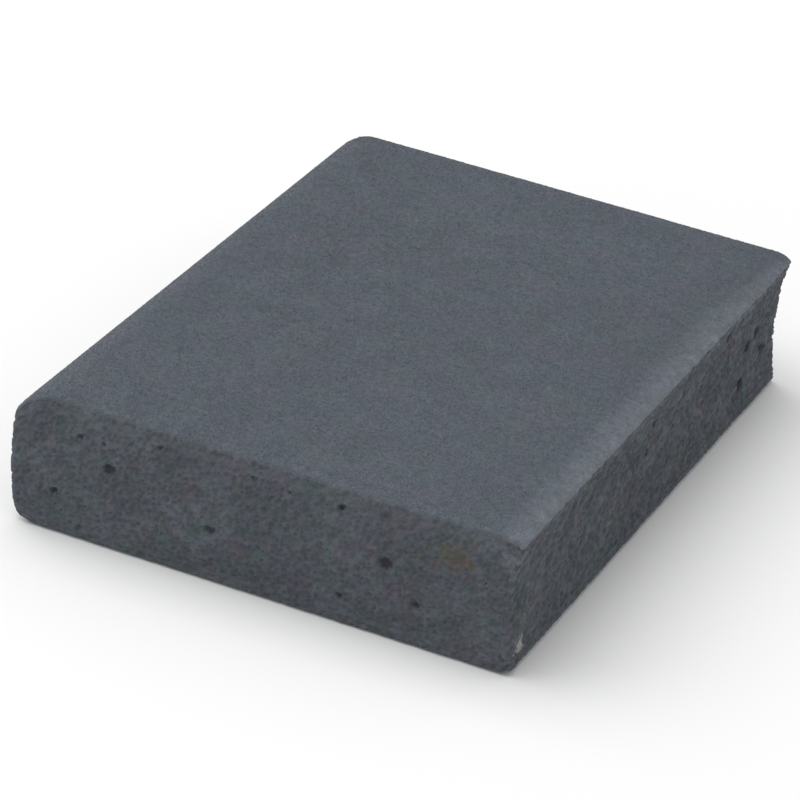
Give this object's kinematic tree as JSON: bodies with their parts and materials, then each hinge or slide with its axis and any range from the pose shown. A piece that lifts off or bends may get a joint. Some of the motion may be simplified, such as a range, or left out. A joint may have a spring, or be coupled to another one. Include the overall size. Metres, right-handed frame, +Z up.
{
  "type": "sanding block",
  "caption": "Flat rectangular sanding sponge: a foam slab with a grit coat bonded to each wide face, rims rolled over, open-cell cut sides.",
  "frame": {"origin": "centre of the lower grit face, on the surface the block stands on", "axes": "+Z up, out of the upper grit face; +Y along the block's length; +X across it, to the side with the sharp lip"},
  "size_m": [0.0709, 0.102, 0.02],
  "materials": {
    "foam": "matte",
    "resin": "satin",
    "grit": "matte"
  },
  "bodies": {
    "root": {"foam_core": "foam", "upper_make_coat": "resin", "upper_grit_coat": "grit", "lower_make_coat": "resin", "lower_grit_coat": "grit"}
  },
  "joints": []
}
